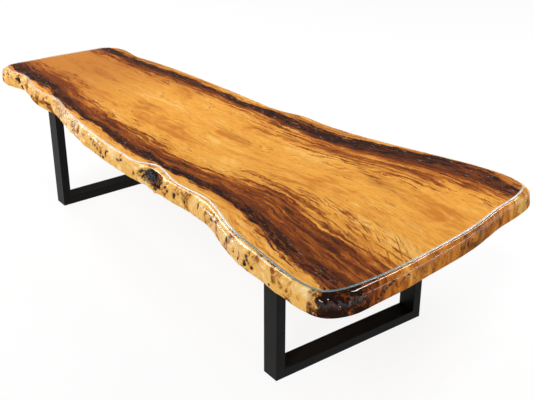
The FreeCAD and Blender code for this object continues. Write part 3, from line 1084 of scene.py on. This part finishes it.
def new_piece(name, shell, materials, slot, *nodes):
    """Piece made of a finished shell, riding on the table in place of its solids."""
    piece = put_shell(name, shell, *materials)
    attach(piece, "root")
    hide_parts(*nodes)


def knot_oval(knot):
    """Middle and half sizes of the lumpy knot, worked out from its solid."""
    half = (knot_high - knot_low) / 2
    middle = (knot_low + knot_high) / 2 + Vector((knot.along, -knot.forward, knot.lift))
    return middle, Vector((half.x * knot.spread, half.y, half.z * knot.spread_up))


class TABLE_OT_build_slab(bpy.types.Operator):
    """Model the slab with its live edge, and give it its figure"""

    bl_idname = "table.build_slab"
    bl_label = "Live edge slab"

    def execute(self, context):
        slab = context.scene.table_slab
        noise.seed_set(slab.bend_seed)
        shell = bmesh.new()
        wrap_edge(shell, slab, knot_oval(context.scene.table_knot))
        close_shell(shell, EDGE_SLOT, TOP_SLOT, UNDER_SLOT)
        figure = figure_group(slab)
        finishes = [figured_top(figure), live_edge(slab, figure), oiled_underside(slab, figure)]
        new_piece("slab", shell, finishes, "slab_wood", "live_edge_slab")
        return {"FINISHED"}


class TABLE_OT_build_coat(bpy.types.Operator):
    """Model the clear poured layer with its beaded lip"""

    bl_idname = "table.build_coat"
    bl_label = "Clear top coat"

    def execute(self, context):
        coat = context.scene.table_coat
        points = smooth_loop(arris_points(), 2 * context.scene.table_slab.spacing)
        outward = outward_runs(points)
        depth = coat_high.z - slab_high.z
        lift = (depth - coat.film) / 2
        turns = [math.radians(turn) for turn in BEAD_TURNS]
        rows = [(coat.bead * math.cos(turn), coat.film + lift * (1 + math.sin(turn))) for turn in turns]
        rows.append((-coat.lip_width, depth))
        shell = bmesh.new()
        lip_layer = shell.verts.layers.float.new("lip")
        for (column, row), verts in wrapped_grid(shell, len(points), len(rows)).items():
            swell, rise = rows[row]
            for vert in verts:
                # Share of the painted highlight, faded along the back edge
                vert[lip_layer] = 1 - coat.back_fade * ease(outward[column][1], 0.3, 0.8)
                vert.co = Vector(points[column]) + Vector(outward[column]) * swell
                vert.co.z = slab_high.z + rise
        close_shell(shell, LIP_SLOT, FACE_SLOT, FACE_SLOT)
        finishes = [clear_face(coat), clear_lip(coat)]
        new_piece("poured_coat", shell, finishes, "clear_epoxy", "clear_top_coat")
        return {"FINISHED"}


class TABLE_OT_build_knot(bpy.types.Operator):
    """Model the lumpy dark knot in its hollow"""

    bl_idname = "table.build_knot"
    bl_label = "Edge knot"

    def execute(self, context):
        knot = context.scene.table_knot
        middle, half = knot_oval(knot)
        shell = bmesh.new()
        ring_layer = shell.verts.layers.float.new("ring")
        bmesh.ops.create_icosphere(shell, subdivisions=6, radius=1.0)
        for vert in shell.verts:
            start = vert.co.copy()
            place = middle + Vector((start.x * half.x, start.y * half.y, start.z * half.z))
            swell = 2.2 * abs(noise.noise(place * 40.0)) + 0.9 * abs(noise.noise(place * 95.0))
            vert.co = place + start * knot.lump * (min(swell, 1.2) - 0.7)
            vert.co.z = min(vert.co.z, slab_high.z - knot.below_top)
            apart = math.hypot(start.x - KNOT_CORE[0], start.z - KNOT_CORE[1])
            vert[ring_layer] = ease(apart, *KNOT_RING)
        for face in shell.faces:
            face.smooth = True
        new_piece("knot", shell, [knot_wood(knot)], "dark_knot", "edge_knot")
        return {"FINISHED"}


def finish_nodes(pieces, material):
    """Give the solids of both frames their finish."""
    for end in ("near_", "far_"):
        for piece in pieces:
            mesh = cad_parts[end + piece].data
            mesh.materials.clear()
            mesh.materials.append(material)


class TABLE_OT_finish_steel(bpy.types.Operator):
    """Finish the frames, fastenings and floor pads"""

    bl_idname = "table.finish_steel"
    bl_label = "Frames and fastenings"

    def execute(self, context):
        steel = context.scene.table_steel
        wear = wear_group()
        for name, solids, setting, *surface in WORN_FINISHES:
            finish_nodes(solids, worn_finish(name, wear, getattr(steel, setting), *surface))
        return {"FINISHED"}


def add_camera(stage):
    """Camera beyond the front corner of the wide end, looking down along the table."""
    camera = bpy.data.cameras.new("camera")
    camera.lens = stage.lens
    camera.sensor_width = SENSOR_WIDTH
    camera.clip_end = FAR_LIMIT
    holder = put("camera", camera)
    holder.location = stage.camera_place
    holder.rotation_euler = (math.pi / 2 - stage.camera_pitch, 0.0, stage.camera_yaw)
    bpy.context.scene.camera = holder


def add_lamp(name, kind, place, turns, power):
    """Lamp at a place, turned by degrees from pointing straight down."""
    lamp = bpy.data.lights.new(name, kind)
    lamp.energy = power
    holder = put(name, lamp)
    holder.location = place
    holder.rotation_euler = [math.radians(turn) for turn in turns]
    return lamp


def add_lamps(stage):
    """Soft light from above, and the panels that draw lines and glints along the edges."""
    sky = add_lamp("soft_sky", "SUN", (0.0, 0.0, 5.0), SKY_TURNS, stage.sky_level)
    sky.angle = stage.sky_width
    for name, place, (tilt, turn), size, power in PANEL_LAMPS:
        panel = add_lamp(name, "AREA", place, (tilt, 0, turn), getattr(stage, power))
        panel.shape = "RECTANGLE"
        panel.size, panel.size_y = size


def seen_rays(tree):
    """Masks of the rays that show a surface straight, and in a mirror or through a clear layer."""
    rays = outputs_of(add(tree, "LightPath"))
    return rays["Is Camera Ray"], largest(rays["Is Glossy Ray"], rays["Is Transmission Ray"])


def pale_floor(stage):
    """Floor that shows nearly white, keeps a soft shadow and is clear from below."""
    material, tree, shader, _ = new_material("pale_floor")
    feed(shader, Base_Color=stage.floor, Roughness=0.9, Specular_IOR_Level=0.1)
    share = largest(*seen_rays(tree)) * stage.floor_glow
    white = made(tree, "Emission", {"Color": WHITE, "Strength": 1.0})
    above = made(tree, "MixShader", {0: share, 1: Field(shader.outputs[0]), 2: white})
    below = made(tree, "NewGeometry", out="Backfacing")
    clear = made(tree, "BsdfTransparent")
    feed(tree.nodes["Material Output"], Surface=made(tree, "MixShader", {0: below, 1: above, 2: clear}))
    return material


def add_floor(stage):
    """Wide level floor."""
    ground = bmesh.new()
    bmesh.ops.create_grid(ground, x_segments=1, y_segments=1, size=stage.floor_half)
    floor = put_shell("floor", ground, pale_floor(stage))


def add_surroundings(stage):
    """Dim surroundings that are seen as white, and mirrored as white near the horizon."""
    world = bpy.data.worlds.new("surroundings")
    world.use_nodes = True
    tree = world.node_tree
    straight, mirrored = seen_rays(tree)
    rise = axes_of(made(tree, "TexCoord", out="Generated"))[2]
    seen = largest(straight, mirrored * remap(rise, *HORIZON))
    level = remap(seen, 0.0, 1.0, stage.world_level, 1.0, "LINEAR")
    feed(tree.nodes["Background"], Color=WHITE, Strength=level)
    bpy.context.scene.world = world


class TABLE_OT_build_stage(bpy.types.Operator):
    """Set up the camera, floor, lamps and surroundings"""

    bl_idname = "table.build_stage"
    bl_label = "Stage"

    def execute(self, context):
        stage = context.scene.table_stage
        add_camera(stage)
        add_floor(stage)
        add_surroundings(stage)
        add_lamps(stage)
        context.scene.view_settings.view_transform = "Standard"
        return {"FINISHED"}


class TABLE_PT_pieces(bpy.types.Panel):
    """Pieces of the table"""

    bl_label = "Live Edge Table"
    bl_idname = "TABLE_PT_pieces"
    bl_space_type = "VIEW_3D"
    bl_region_type = "UI"
    bl_category = "Table"

    def draw(self, context):
        for operator in OPERATORS:
            self.layout.operator(operator.bl_idname)


SETTINGS = {
    "table_slab": SlabSettings,
    "table_coat": CoatSettings,
    "table_knot": KnotSettings,
    "table_steel": SteelSettings,
    "table_stage": StageSettings,
}
OPERATORS = (
    TABLE_OT_build_slab,
    TABLE_OT_build_coat,
    TABLE_OT_build_knot,
    TABLE_OT_finish_steel,
    TABLE_OT_build_stage,
)


def register():
    for cls in (*SETTINGS.values(), *OPERATORS, TABLE_PT_pieces):
        bpy.utils.register_class(cls)
    for name, cls in SETTINGS.items():
        setattr(bpy.types.Scene, name, PointerProperty(type=cls))


def unregister():
    for name in SETTINGS:
        delattr(bpy.types.Scene, name)
    for cls in (TABLE_PT_pieces, *reversed(OPERATORS), *reversed(SETTINGS.values())):
        bpy.utils.unregister_class(cls)


def main():
    register()
    bpy.ops.table.build_slab()
    bpy.ops.table.build_coat()
    bpy.ops.table.build_knot()
    bpy.ops.table.finish_steel()
    bpy.ops.table.build_stage()


if __name__ == "__main__":
    main()
